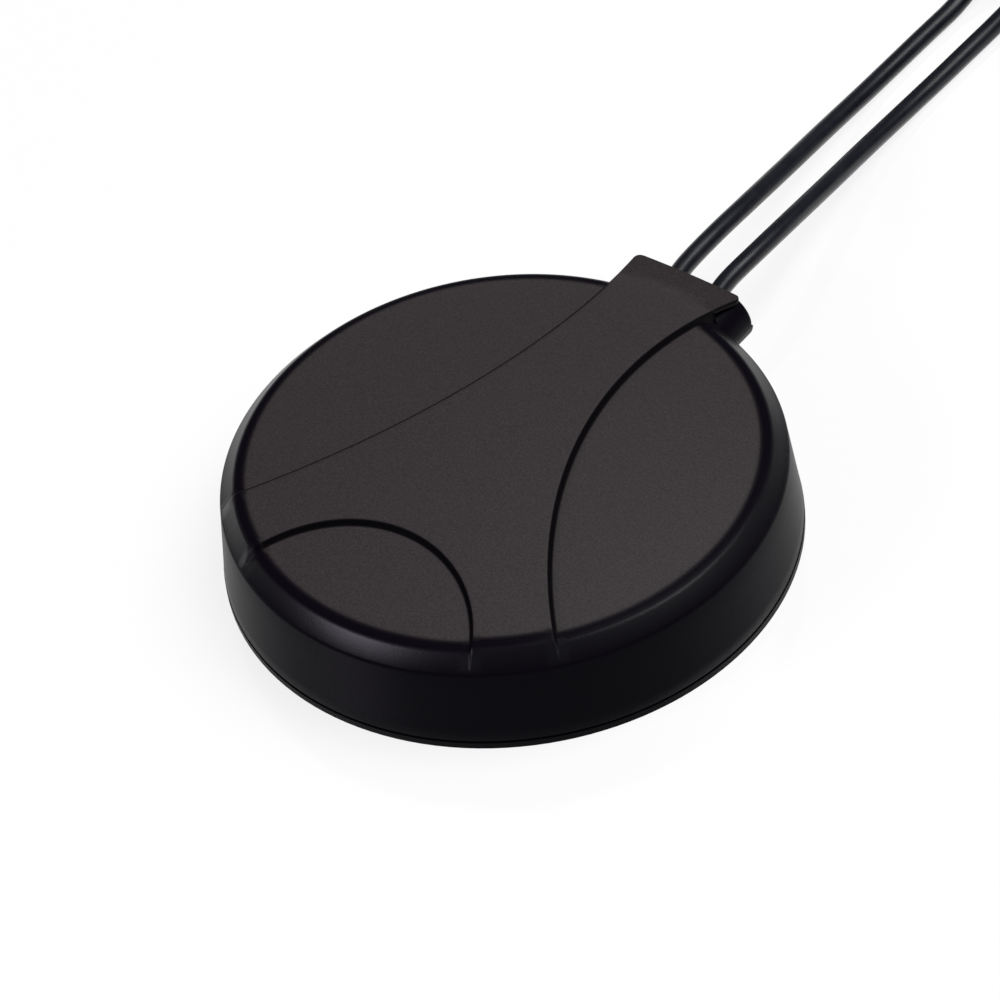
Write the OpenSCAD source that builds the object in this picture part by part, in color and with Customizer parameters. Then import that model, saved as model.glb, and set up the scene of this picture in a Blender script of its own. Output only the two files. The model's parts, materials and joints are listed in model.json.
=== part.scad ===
// Low round roof antenna for satellite positioning and mobile data, in two coax cables.
// The origin is on the mounting surface, on the housing's axis. +Z is up and the cables leave along +Y.

/* [Housing] */
// Diameter of the housing at its bottom rim
base_d = 80; // [80:0.5:84]
// Height of the recessed fields at the middle of the domed top
field_h = 19.45; // [19.25:0.05:22]
// Radius of the sphere that the domed top follows
dome_r = 165; // [155:5:220]
// Height of the raised star over the recessed fields
star_step = 0.8; // [0.4:0.1:1]
// Radius at which the dome rolls over into its rounded edge
dome_edge_r = 36.05; // [35.95:0.05:36.15]
// Radius of the rounded edge between dome and shoulder
edge_round = 2; // [1.8:0.1:2.4]
// Length of the sloping shoulder below the rounded edge
shoulder_l = 2.45; // [2.35:0.05:2.55]
// Radius of the rounding between shoulder and side wall
shoulder_round = 1.2; // [0.8:0.1:1.6]
// Thickness of the cover's roof
roof_t = 1.8; // [1.4:0.1:2]
// Thickness of the cover's side wall
wall_t = 2.2; // [1.9:0.1:2.4]

/* [Raised star] */
// Radius of the recessed field on either side
side_field_r = 71.8; // [70:0.1:74]
// Half width of the star's rear arm at its narrowest
arm_half_w = 6.9; // [6.5:0.1:7.5]
// Distance behind the axis at which the rear arm is narrowest
arm_waist_y = 25.6; // [23:0.1:27]
// Radius of the recessed field at the front
front_field_r = 20.9; // [19:0.1:22]
// Distance in front of the axis at which the front field begins
front_field_gap = 20.5; // [19:0.1:22]

/* [Cable nose] */
// Distance from the axis to the nose's rear end
nose_y = 43.5; // [43:0.1:45]
// Radius of the nose's rounded sides
nose_r = 4.2; // [4:0.1:4.5]
// Distance from the middle plane to the centre of each rounded side
nose_half = 6; // [6:0.1:6.3]
// Height of the nose's centre
nose_z = 9.9; // [9.8:0.05:10.2]
// Height of the parting line between cover and base at the nose
split_z = 9.4; // [9.1:0.1:9.7]
// Thickness of the flat tongue that carries the star over the nose
tongue_t = 0.9; // [0.7:0.1:1]
// Corner radius of the tongue
tongue_corner = 1.2; // [0.8:0.1:2]
// Wall around the grommet
nose_wall = 1.25; // [1:0.05:1.3]

/* [Base plate] */
// Thickness of the foam pad, which fills its recess
pad_t = 0.7; // [0.6:0.05:0.9]
// Radius of the foam pad
pad_r = 35; // [33:0.5:36]
// Thickness of the visible rim
rim_t = 0.95; // [0.8:0.05:1.05]
// Open seam between rim and cover
seam = 0.25; // [0.15:0.05:0.4]
// Thickness of the plate inside the cover
floor_t = 1.3; // [1.1:0.1:1.5]
// Height of the locating lip over the plate's floor
lip_h = 2; // [1.5:0.1:2.5]
// Thickness of the locating lip
lip_t = 1.5; // [1:0.1:1.8]
// Width of the seal
seal_w = 1.1; // [0.9:0.05:1.2]
// How deep the seal sits in its groove
seal_depth = 0.45; // [0.3:0.05:0.5]

/* [Fastening] */
// Distance of the housing screws from the axis
boss_ring_r = 31; // [30.8:0.1:31.4]
// Outer radius of the cover's screw bosses
boss_r = 3.2; // [2.8:0.1:3.3]
// Radius of the housing screws' shanks
screw_r = 1.05; // [0.9:0.05:1.1]
// Length of the housing screws
screw_l = 9; // [7:0.5:10]
// Distance of the board's screws from the axis
post_ring_r = 23; // [22.6:0.1:23.4]
// Height of the board's posts over the plate's floor
post_h = 3.8; // [3.4:0.1:4]
// Radius of the board's posts
post_r = 2.5; // [2:0.1:2.8]
// Radius of the board screws' shanks
board_screw_r = 0.8; // [0.6:0.05:0.9]

/* [Electronics] */
// Radius of the round circuit board
board_r = 27; // [26:0.1:27.3]
// Thickness of the circuit board
board_t = 1; // [0.8:0.1:1.2]
// Side of the square ceramic patch
patch_w = 25; // [22:0.5:25]
// Thickness of the ceramic patch
patch_t = 4; // [3:0.1:4.5]
// Side of the silver face on the patch
electrode_w = 21; // [18:0.5:21]
// Distance from the axis to the patch's centre, towards the front
patch_y = -7.5; // [-8:0.1:-6.5]
// Thickness of the tape under the patch
tape_t = 0.5; // [0.3:0.1:0.8]
// Length of the mobile antenna's carrier
carrier_l = 34; // [28:1:35]
// Depth of the mobile antenna's carrier
carrier_w = 9; // [8:0.1:9.2]
// Height of the mobile antenna's carrier
carrier_h = 6.4; // [5:0.1:6.6]
// Thickness of the antenna's sheet metal
sheet_t = 0.3; // [0.2:0.05:0.4]

/* [Cables] */
// Diameter of the coax cables
cable_d = 2.8; // [2.6:0.1:2.8]
// Height of the cables where they leave the nose
cable_z = 11; // [10.8:0.05:11]
// Distance between the two outlets in the nose
outlet_pitch = 7; // [6.9:0.05:7.1]
// Mean radius of a coiled cable
coil_r = 23.4; // [22:0.1:24]
// Radius of the bundle of turns
bundle_r = 7.1; // [6.8:0.1:7.2]
// Width of the tie around a coil
tie_w = 2.6; // [2:0.1:3]
// Thickness of the tie around a coil
tie_t = 0.4; // [0.3:0.05:0.45]

/* [Plug] */
// Width of the coupling nut across its flats
nut_af = 8; // [7.6:0.1:8.2]
// Length of the coupling nut
nut_l = 7; // [6.8:0.1:7.6]
// Radius of the nut's threaded mouth, at the crests
thread_r = 2.9; // [2.8:0.05:3]
// Depth of the nut's threaded mouth
thread_l = 5; // [4.8:0.1:5.2]
// Radius of the plug's inner barrel
barrel_r = 2.3; // [2.2:0.02:2.34]
// Radius of the neck on which the nut turns
neck_r = 2.45; // [2.4:0.01:2.5]
// Gap between neck and nut, on the radius
nut_play = 0.05; // [0.03:0.01:0.08]
// Radius of the centre pin
pin_r = 0.46; // [0.44:0.01:0.5]
// Radius of the crimp stub
stub_r = 1.6; // [1.5:0.01:1.62]

/* [Hidden] */

$fn = 96;
// Small gap between pieces that fit together
fit = 0.05;
// Overlap of cutters past the faces that they cut
eps = 0.5;

// Heights of the base's levels
rim_top = rim_t;
cover_z = rim_top + seam;
recess_z = pad_t;
floor_z = recess_z + floor_t;
board_z = floor_z + post_h;
board_top = board_z + board_t;
base_r = base_d / 2;
cover_foot_r = base_r - 0.05;
plate_r = cover_foot_r - wall_t - 0.25;
lip_gap = 0.3;
seal_out_r = cover_foot_r - 0.6;

// Profile of the housing: the slope of the dome at its edge, then shoulder and wall
dome_slope = asin(dome_edge_r / dome_r);
shoulder_slope = 48;
star_slope = 60;
function dome_drop(r) = dome_r - sqrt(dome_r * dome_r - r * r);
edge_c = [dome_edge_r - edge_round * sin(dome_slope),
    field_h - dome_drop(dome_edge_r) - edge_round * cos(dome_slope)];
function on_arc(c, r, slope) = c + r * [sin(slope), cos(slope)];
shoulder_top = on_arc(edge_c, edge_round, shoulder_slope);
shoulder_low = shoulder_top + shoulder_l * [cos(shoulder_slope), -sin(shoulder_slope)];
wall_c = shoulder_low - shoulder_round * [sin(shoulder_slope), cos(shoulder_slope)];
wall_slope = 84;
// The tongue stands this much over the star, so that the two surfaces don't touch
tongue_lift = 0.04;

// Side fields of the star, and the narrow clearances of the base's saddle in the cover
side_field_x = arm_half_w + side_field_r;
front_field_y = -(front_field_gap + front_field_r);
saddle_half = nose_half + nose_r;
saddle_gap = 0.2;
channel_r = nose_r - nose_wall;
grommet_in_y = 34.8;
grommet_end_y = nose_y - 0.3;
flange_t = 1.6;
flange_r = 3.7;

// Round places for bosses, posts and the cable clamp's post
boss_angles = [30, 150, 270];
post_angles = [20, 160, 270];
screw_play = 0.05;
clamp_at = [0, 29.2];
clamp_post_r = 1.85;
clamp_t = 1;
clamp_l = outlet_pitch + 4.4;
clamp_w = 3.2;
clamp_screw_r = 0.95;
clamp_sink = 0.8;
clamp_z = cable_z - clamp_sink + cable_d / 2 + fit;
carrier_y = 8.5;
carrier_z = board_top + carrier_h;

// Cable places: the first cable is for positioning, the second for mobile data
GPS = 0;
CELL = 1;
outlet_x = [-outlet_pitch / 2, outlet_pitch / 2];
cable_r = cable_d / 2;
side = [-1, 1];
tie_clear = 0.1;
rest_gap = 0.1;
low_coil_z = bundle_r + tie_clear + tie_t + rest_gap;
high_coil_z = low_coil_z + 2 * (bundle_r + tie_clear + tie_t);
coil_at = [[20.5, 160, high_coil_z], [26.5, 160, low_coil_z]];
exit_r = coil_r + 4.9;
plug_z = 4.85;
plug_at = [[coil_at[0][0] + exit_r, 82, plug_z], [coil_at[1][0] + 50, 160 + exit_r, plug_z]];
plug_turn = [[90, 0, 0], [0, 90, 0]];
stub_end = 14;
route_gps = [[-3.5, 43.2, 11], [-4.1, 48, 11], [-4.3, 55, 10.8], [-4.9, 63, 9.6],
    [-6.7, 74, 6.6], [-8.6, 86, 3.5], [-9.4, 97, 1.8], [-9.4, 107, 1.4], [-9, 118, 1.5],
    [-8.6, 128, 4.4], [-8.2, 138, 10], [-7.9, 148, 16.4], [-7.8, 155, 19.2]];
route_cell = [[3.5, 43.2, 11], [2.9, 48, 11], [2.9, 55, 10.8], [2.3, 63, 9.6],
    [0.5, 74, 6.6], [-1.4, 86, 3.5], [-2.2, 97, 1.8], [-2.1, 107, 1.4], [-1.8, 118, 1.4],
    [-1.8, 128, 1.6], [-1.8, 138, 2.6], [-1.8, 148, 4.1], [-1.8, 155, 4.7]];
routes = [route_gps, route_cell];
lead_gps = [[-3.5, 42.95, 11], [-3.5, 38, 11], [-3.5, 35, 11], [-3.5, 33, 11], [-3.5, 31.2, 10.2],
    [-3.5, 27.2, 10.2], [-3.9, 25.5, 9.8], [-5.6, 23.6, 9], [-7.2, 22, 8.6], [-8, 20.5, 8.55]];
lead_cell = [[3.5, 42.95, 11], [3.5, 38, 11], [3.5, 35, 11], [3.5, 33, 11], [3.5, 31.2, 10.2],
    [3.5, 27.2, 10.2], [3.5, 25.5, 9.8], [3.5, 23.6, 9], [3.5, 22, 8.6], [3.5, 20.5, 8.55]];
leads = [lead_gps, lead_cell];
// From each coil to its plug
end_gps = [[48.8, 156, 22.8], [48.8, 150, 22.2], [48.8, 143, 19.6], [48.8, 135, 14.6],
    [48.8, 127, 9.4], [48.8, 119, 6.1], [48.8, 110, 4.9], [48.8, 102, 4.85], [48.8, 96.1, 4.85]];
end_cell = [[31, 188.3, 7.7], [37, 188.3, 7.5], [44, 188.3, 6.4], [51, 188.3, 5.2],
    [57, 188.3, 4.85], [62.4, 188.3, 4.85]];
ends = [end_gps, end_cell];
tube_sides = 8;

// Colours
housing_colour = [0.2, 0.19, 0.185];
cable_colour = [0.1, 0.1, 0.12];
board_colour = [0.05, 0.3, 0.14];
steel_colour = [0.72, 0.72, 0.74];
gold_colour = [0.85, 0.68, 0.3];

// Points of the outer profile up to the end of the rounded edge, raised by lift
function top_points(lift, slope_end) = concat(
    [for (i = [0 : 7]) let (r = dome_edge_r * i / 7) [r, field_h + lift - dome_drop(r)]],
    [for (i = [1 : 6]) let (a = dome_slope + (slope_end - dome_slope) * i / 6)
        on_arc(edge_c + [0, lift], edge_round, a)]);

function wall_points() = concat(
    [for (i = [0 : 4]) on_arc(wall_c, shoulder_round,
        shoulder_slope + (wall_slope - shoulder_slope) * i / 4)],
    [[cover_foot_r, cover_z]]);

// Middle of a curve through four points
function mid_point(a, b, c, d) = (-a + 9 * b + 9 * c - d) / 16;
function at(route, i) = route[min(max(i, 0), len(route) - 1)];
function smooth(route) = [for (i = [0 : len(route) - 1]) each i == len(route) - 1 ? [route[i]]
    : [route[i], mid_point(at(route, i - 1), route[i], route[i + 1], at(route, i + 2))]];
function unit(v) = v / norm(v);

// A tube of eight sides along a route, each ring square to the way there
module tube(route, r) {
    n = len(route);
    rings = [for (i = [0 : n - 1]) let (
        way = unit(at(route, i + 1) - at(route, i - 1)),
        across = unit(cross(way, [0, 0, 1])),
        up = cross(across, way))
        for (k = [0 : tube_sides - 1]) let (a = 360 * (k + 0.5) / tube_sides)
            route[i] + r * (cos(a) * across + sin(a) * up)];
    skin = [for (i = [0 : n - 2]) for (k = [0 : tube_sides - 1]) let (m = (k + 1) % tube_sides)
        [i * tube_sides + k, i * tube_sides + m, (i + 1) * tube_sides + m, (i + 1) * tube_sides + k]];
    first = [for (k = [0 : tube_sides - 1]) tube_sides - 1 - k];
    last = [for (k = [0 : tube_sides - 1]) (n - 1) * tube_sides + k];
    polyhedron(rings, concat([first, last], skin), convexity = 8);
}

// A rounded bar along Y with two round sides, such as the nose and all that fits in it
module stadium_bar(r, from_y, to_y) {
    translate([0, to_y, nose_z]) rotate([90, 0, 0]) linear_extrude(to_y - from_y) {
        square([2 * nose_half, 2 * r], center = true);
        for (s = side) translate([s * nose_half, 0]) circle(r);
    }
}

// Everything at angles around the axis
module around(angles, r) {
    for (a = angles) rotate(a) translate([r, 0, 0]) children();
}

module side_fields(z0, z1) {
    for (s = side) translate([s * side_field_x, arm_waist_y, z0])
        cylinder(r = side_field_r, h = z1 - z0, $fn = 360);
}

module front_field(z0, z1) {
    translate([0, front_field_y, z0]) cylinder(r = front_field_r, h = z1 - z0, $fn = 180);
}

// Solid body of the housing under the recessed fields
module field_body() {
    rotate_extrude($fn = 180) polygon(concat(top_points(0, shoulder_slope), wall_points(),
        [[0, cover_z]]));
}

// The raised star: a second, higher top that meets the shoulder's lower edge
module star_body() {
    difference() {
        rotate_extrude($fn = 180) polygon(concat(top_points(star_step, star_slope),
            [shoulder_low - [0.05, 0.15], shoulder_low - [1.5, 0.5], [dome_edge_r - 1, nose_z + 1],
            [0, nose_z + 1]]));
        side_fields(0, field_h + 5);
        front_field(0, field_h + 5);
    }
}

// The tongue that carries the star's rear arm out over the nose
module tongue() {
    difference() {
        intersection() {
            translate([0, 0, field_h + star_step + tongue_lift - dome_r])
                sphere(r = dome_r, $fn = 360);
            translate([0, 0, nose_z]) linear_extrude(12) {
                translate([-12, 26]) square([24, nose_y - 26 - tongue_corner]);
                translate([-7.8, 26]) square([15.6, nose_y - 26]);
                for (s = side) translate([s * 7.9, nose_y - tongue_corner]) circle(tongue_corner);
            }
        }
        translate([0, 0, field_h + star_step - dome_r - tongue_t]) sphere(r = dome_r, $fn = 360);
        side_fields(0, field_h + 5);
    }
}

// The upper half of the nose, filled up to the tongue
module nose_top() {
    difference() {
        union() {
            stadium_bar(nose_r, grommet_in_y, nose_y);
            translate([-nose_half, grommet_in_y, nose_z])
                cube([2 * nose_half, nose_y - grommet_in_y, nose_r + 0.1]);
        }
        translate([-20, 30, 0]) cube([40, 20, split_z]);
    }
}

// Hollow of the cover
module cover_hollow() {
    rotate_extrude($fn = 180) polygon(concat(
        [for (i = [0 : 5]) let (r = (dome_edge_r - edge_round) * i / 5)
            [r, field_h - roof_t - dome_drop(r)]],
        [[wall_c[0] + shoulder_round - wall_t, wall_c[1] - 0.6],
        [cover_foot_r - wall_t, cover_z - eps], [0, cover_z - eps]]));
}

module top_cover() {
    color(housing_colour) difference() {
        union() {
            difference() {
                union() {
                    field_body();
                    star_body();
                    tongue();
                    nose_top();
                }
                cover_hollow();
                translate([-saddle_half - saddle_gap, 30, cover_z - eps])
                    cube([2 * (saddle_half + saddle_gap), 20, split_z - cover_z + eps]);
            }
            intersection() {
                around(boss_angles, boss_ring_r) translate([0, 0, floor_z + 0.1])
                    cylinder(r = boss_r, h = field_h);
                cover_hollow();
            }
        }
        stadium_bar(channel_r, 30, nose_y + eps);
        stadium_bar(flange_r + 0.15, 30, grommet_in_y);
        around(boss_angles, boss_ring_r) translate([0, 0, floor_z - eps])
            cylinder(r = screw_r + screw_play, h = screw_l + eps);
    }
}

module base_plate() {
    color(housing_colour * 0.8) difference() {
        union() {
            cylinder(r = base_r, h = rim_t, $fn = 180);
            cylinder(r = plate_r, h = floor_z, $fn = 180);
            difference() {
                translate([0, 0, floor_z - eps])
                    cylinder(r = plate_r - lip_gap, h = lip_h + eps, $fn = 180);
                translate([0, 0, floor_z])
                    cylinder(r = plate_r - lip_gap - lip_t, h = lip_h + eps, $fn = 180);
            }
            around(post_angles, post_ring_r) translate([0, 0, floor_z - eps])
                cylinder(r = post_r, h = post_h + eps);
            translate([clamp_at[0], clamp_at[1], floor_z - eps])
                cylinder(r = clamp_post_r, h = clamp_z - floor_z + eps);
            saddle();
        }
        translate([0, 0, rim_top - seal_depth]) difference() {
            cylinder(r = seal_out_r, h = seam + seal_depth, $fn = 180);
            translate([0, 0, -eps])
                cylinder(r = seal_out_r - seal_w - 2 * fit, h = seam + seal_depth + 2 * eps,
                    $fn = 180);
            translate([-saddle_half, 0, 0]) cube([2 * saddle_half, base_r, 3]);
        }
        translate([0, 0, -eps]) cylinder(r = pad_r + 0.2, h = recess_z + eps);
        around(boss_angles, boss_ring_r) translate([0, 0, recess_z - eps]) {
            cylinder(r = screw_r + 0.25, h = floor_t + 2 * eps);
            cylinder(r = 2 * screw_r + fit, h = eps);
            translate([0, 0, eps]) cylinder(r1 = 2 * screw_r + fit, r2 = screw_r + fit, h = screw_r);
        }
        around(post_angles, post_ring_r) translate([0, 0, floor_z])
            cylinder(r = board_screw_r + screw_play, h = post_h + eps);
        translate([clamp_at[0], clamp_at[1], floor_z + 3])
            cylinder(r = clamp_screw_r + screw_play, h = clamp_z);
    }
}

// The saddle closes the cover's opening below the nose and is the nose's lower half
module saddle() {
    difference() {
        intersection() {
            union() {
                field_body();
                stadium_bar(nose_r, 33, nose_y);
                cylinder(r = base_r - 0.05, h = rim_t + seam);
            }
            translate([-saddle_half, grommet_in_y, 0]) cube([2 * saddle_half, 20, split_z]);
        }
        stadium_bar(channel_r, 30, nose_y + eps);
    }
}

module seal_ring() {
    color([0.12, 0.12, 0.13]) difference() {
        translate([0, 0, rim_top - seal_depth]) rotate_extrude($fn = 180)
            translate([seal_out_r - fit - seal_w, 0]) square([seal_w, seam + seal_depth]);
        translate([-saddle_half - saddle_gap, 0, 0])
            cube([2 * (saddle_half + saddle_gap), base_r, 3]);
    }
}

module mounting_pad() {
    color([0.15, 0.15, 0.16]) cylinder(r = pad_r, h = pad_t, $fn = 180);
}

// A countersunk screw that points up, with its head's face at z = 0
module countersunk_screw(r, l) {
    difference() {
        union() {
            cylinder(r1 = 2 * r, r2 = r, h = r);
            cylinder(r = r, h = l);
        }
        cross_recess(r);
    }
}

// A cross-shaped driver recess, open downwards at z = 0
module cross_recess(r) {
    for (a = [0, 90]) rotate(a) translate([-r, -0.15 * r, -0.1]) cube([2 * r, 0.3 * r, 0.5 * r + 0.1]);
}

module base_screws() {
    color(steel_colour) around(boss_angles, boss_ring_r) translate([0, 0, recess_z])
        countersunk_screw(screw_r, screw_l);
}

// A pan-head screw that points down, with its seat at z = 0
module pan_screw(r, l) {
    difference() {
        union() {
            cylinder(r = 2.1 * r, h = 1.3 * r);
            translate([0, 0, -l]) cylinder(r = r, h = l + 0.1);
        }
        translate([0, 0, 1.3 * r]) rotate([180, 0, 0]) cross_recess(1.3 * r);
    }
}

module board_screws() {
    color(steel_colour) around(post_angles, post_ring_r) translate([0, 0, board_top])
        pan_screw(board_screw_r, board_t + post_h - 0.8);
}

module main_board() {
    color(board_colour) translate([0, 0, board_z]) difference() {
        cylinder(r = board_r, h = board_t);
        around(post_angles, post_ring_r) translate([0, 0, -eps])
            cylinder(r = board_screw_r + 0.15, h = board_t + 2 * eps);
        translate([0, patch_y, -eps]) cylinder(r = pin_hole_r, h = board_t + 2 * eps);
    }
}
pin_hole_r = 0.6;
feed_pin_r = 0.45;

module square_plate(w, z, h, hole) {
    translate([0, patch_y, z]) difference() {
        translate([-w / 2, -w / 2, 0]) cube([w, w, h]);
        translate([0, 0, -eps]) cylinder(r = hole, h = h + 2 * eps);
    }
}

module patch_tape() {
    color([0.85, 0.85, 0.8]) square_plate(patch_w - 1, board_top, tape_t, 1);
}

patch_top = board_top + tape_t + patch_t;
electrode_t = 0.1;

module gps_patch() {
    color([0.86, 0.83, 0.76]) square_plate(patch_w, board_top + tape_t, patch_t, pin_hole_r);
}

module patch_electrode() {
    color(steel_colour) difference() {
        square_plate(electrode_w, patch_top, electrode_t, feed_pin_r + 0.02);
        translate([electrode_w / 2, patch_y + electrode_w / 2, patch_top - eps]) rotate(45)
            cube([3, 3, 3], center = true);
    }
}

module feed_pin() {
    color(gold_colour) translate([0, patch_y, 0]) {
        translate([0, 0, board_z - 0.9]) cylinder(r = feed_pin_r, h = patch_top + electrode_t - board_z + 1);
        translate([0, 0, patch_top + electrode_t]) cylinder(r1 = 1.1, r2 = 0.6, h = 0.35);
    }
}

can_l = 16;
can_w = 11;
can_h = 2.2;
can_t = 0.2;

module shield_can() {
    color(steel_colour) translate([-can_l / 2, patch_y - can_w / 2, board_z - can_h]) difference() {
        cube([can_l, can_w, can_h]);
        translate([can_t, can_t, can_t]) cube([can_l - 2 * can_t, can_w - 2 * can_t, can_h]);
    }
}

// Filter, amplifier and small parts under the shield can
module amplifier_parts() {
    color([0.14, 0.14, 0.15]) for (p = [[-5, -2, 3, 2.4, 0.9], [1.8, -3, 2, 2, 0.7], [4.5, 1, 1.6, 0.8, 0.6],
        [-4.5, 2, 1.6, 0.8, 0.6], [2.2, 2.4, 1, 0.5, 0.5]])
        translate([p[0] - p[2] / 2, patch_y + p[1] - p[3] / 2, board_z - p[4]]) cube([p[2], p[3], p[4]]);
}

module cell_carrier() {
    color([0.82, 0.82, 0.8]) translate([-carrier_l / 2, carrier_y, board_top]) difference() {
        cube([carrier_l, carrier_w, carrier_h]);
        for (i = [0 : 3]) translate([1.2 + i * (carrier_l - 1.2) / 4, 1.2, -eps])
            cube([(carrier_l - 1.2) / 4 - 1.2, carrier_w - 2.4, carrier_h - 1.2 + eps]);
    }
}

// Folded sheet on top of the carrier, with two legs down to the board
module cell_element() {
    color(gold_colour) {
        translate([-carrier_l / 2, carrier_y - sheet_t, carrier_z]) difference() {
            cube([carrier_l, carrier_w + sheet_t, sheet_t]);
            for (i = [0 : 4]) translate([6 + i * 5.4, i % 2 == 0 ? -eps : 2, -eps])
                cube([0.8, carrier_w - 1.6 + eps, 2]);
        }
        for (x = [1, 9]) translate([x - carrier_l / 2, carrier_y - sheet_t, board_top])
            cube([2, sheet_t, carrier_h + sheet_t]);
    }
}

module matching_parts() {
    color([0.2, 0.16, 0.12]) for (p = [[-15, 4, 1.6, 0.8, 0.6], [-14, 1.5, 2, 1.2, 0.8],
        [-5, 22, 1.6, 0.8, 0.6], [8, 21.5, 2.4, 1.6, 0.9], [12, 21, 1.6, 0.8, 0.6], [15.5, 1, 2, 1.2, 0.8]])
        translate([p[0] - p[2] / 2, p[1] - p[3] / 2, board_top]) cube([p[2], p[3], p[4]]);
}

// Solder cones on the board, where the cables' inner conductors end
module solder_joints() {
    color(steel_colour) for (lead = leads) {
        end = lead[len(lead) - 1];
        translate([end[0], end[1] - 1, board_top]) cylinder(r1 = 1, r2 = 0.6, h = end[2] - board_top + 0.4);
    }
}

// Rubber block that holds the two cables in the nose
module cable_grommet() {
    color([0.1, 0.1, 0.11]) difference() {
        union() {
            stadium_bar(channel_r - fit, grommet_in_y - 0.1, grommet_end_y);
            intersection() {
                stadium_bar(flange_r, grommet_in_y - flange_t, grommet_in_y - fit);
                cylinder(r = 36, h = 30);
            }
        }
        for (x = outlet_x) translate([x, 30, cable_z]) rotate([-90, 0, 0]) cylinder(r = cable_r + fit, h = 20);
    }
}

module cable_clamp() {
    color(steel_colour) translate([clamp_at[0], clamp_at[1], clamp_z]) difference() {
        translate([-clamp_l / 2, -clamp_w / 2, 0]) cube([clamp_l, clamp_w, clamp_t]);
        translate([0, 0, -eps]) cylinder(r = clamp_screw_r + 0.15, h = 3);
    }
}

module clamp_screw() {
    color(steel_colour) translate([clamp_at[0], clamp_at[1], clamp_z + clamp_t])
        pan_screw(clamp_screw_r, clamp_z + clamp_t - floor_z - 3.6);
}

// The stretch of a cable inside the housing
module cable_lead(i) {
    color(cable_colour) tube(smooth(leads[i]), cable_r);
}

// The loose stretch of a cable between nose and coil
module cord(i) {
    color(cable_colour) tube(smooth(routes[i]), cable_r);
}

module coil(i) {
    color(cable_colour) translate(coil_at[i]) rotate_extrude()
        translate([coil_r, 0]) circle(bundle_r, $fn = 48);
}

// Tie around the bundle, away from where the cable enters and leaves
module tie(i) {
    color([0.08, 0.08, 0.09]) translate(coil_at[i])
        rotate(i == GPS ? 215 : 20) translate([coil_r, 0, 0]) rotate([90, 0, 0]) {
            difference() {
                translate([0, 0, -tie_w / 2]) cylinder(r = bundle_r + tie_clear + tie_t, h = tie_w);
                translate([0, 0, -tie_w]) cylinder(r = bundle_r + tie_clear, h = 2 * tie_w);
            }
            translate([bundle_r + tie_t, 0, -2.2]) difference() {
                translate([0, -2, 0]) cube([3, 4, 4.4]);
                translate([0.9, -2.5, 1.2]) cube([1, 5, 2]);
            }
        }
}

// The end of a cable between coil and plug
module cord_end(i) {
    color(cable_colour) tube(smooth(ends[i]), cable_r);
}

// Places a plug piece: its mouth faces away from the cable, and its length runs back along -Z
module at_plug(i) {
    translate(plug_at[i]) rotate(plug_turn[i]) children();
}

neck_z = -nut_l - 0.15;
ring_z = -thread_l - 1.1;
ring_t = 0.5;
barrel_z = -2.8;
stub_z = -10.5;
insulator_r = 2.04;

module plug_body(i) {
    color(gold_colour) at_plug(i) difference() {
        union() {
            translate([0, 0, stub_z]) cylinder(r = barrel_r, h = barrel_z - stub_z);
            translate([0, 0, stub_z]) cylinder(r = neck_r, h = -thread_l - 0.1 - stub_z);
            translate([0, 0, stub_z]) cylinder(r = 3.2, h = neck_z - stub_z);
            translate([0, 0, -stub_end]) cylinder(r = stub_r, h = stub_end);
        }
        translate([0, 0, barrel_z]) cylinder(r = stub_end, h = stub_end);
        translate([0, 0, stub_z + 1]) cylinder(r = insulator_r + 0.01, h = stub_end);
        translate([0, 0, -stub_end - eps]) cylinder(r = pin_r + 0.3, h = stub_end);
        translate([0, 0, ring_z - fit]) difference() {
            cylinder(r = 4, h = ring_t + 2 * fit);
            translate([0, 0, -eps]) cylinder(r = insulator_r + 0.16, h = ring_t + 2 * eps);
        }
    }
}

module plug_nut(i) {
    color(gold_colour) at_plug(i) difference() {
        intersection() {
            translate([0, 0, -nut_l]) cylinder(r = nut_af / sqrt(3), h = nut_l, $fn = 6);
            rotate_extrude() polygon([[0, 0], [nut_af / 2 + 0.1, 0], [nut_af / 2 + 0.65, -0.4],
                [nut_af / 2 + 0.65, -nut_l + 0.4], [nut_af / 2 + 0.1, -nut_l], [0, -nut_l]]);
        }
        translate([0, 0, -thread_l]) cylinder(r = thread_r, h = thread_l + eps);
        translate([0, 0, -nut_l - eps]) cylinder(r = neck_r + nut_play, h = nut_l);
        translate([0, 0, ring_z - fit]) cylinder(r = thread_r + fit, h = ring_t + 2 * fit);
    }
}

// Open ring that keeps the nut on the plug's neck
module snap_ring(i) {
    color(steel_colour) at_plug(i) translate([0, 0, ring_z]) difference() {
        cylinder(r = thread_r, h = ring_t);
        translate([0, 0, -eps]) cylinder(r = insulator_r + 0.16 + fit, h = ring_t + 2 * eps);
        translate([0, -0.4, -eps]) cube([5, 0.8, ring_t + 2 * eps]);
    }
}

module gasket(i) {
    color([0.75, 0.25, 0.15]) at_plug(i) translate([0, 0, -thread_l]) difference() {
        cylinder(r = thread_r - 0.08, h = 0.6);
        translate([0, 0, -eps]) cylinder(r = barrel_r + 0.01, h = 2);
    }
}

module insulator(i) {
    color([0.95, 0.95, 0.93]) at_plug(i) translate([0, 0, stub_z + 1]) difference() {
        cylinder(r = insulator_r, h = barrel_z - stub_z - 1);
        translate([0, 0, -eps]) cylinder(r = pin_r + 0.01, h = stub_end);
    }
}

module pin(i) {
    color(gold_colour) at_plug(i) {
        translate([0, 0, -stub_end]) cylinder(r = pin_r, h = stub_end - 1.2);
        translate([0, 0, -1.2]) cylinder(r1 = pin_r, r2 = pin_r / 2, h = 0.4);
    }
}

ferrule_r = stub_r + 0.35;
ferrule_z = -16.5;
boot_z = -21;

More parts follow.
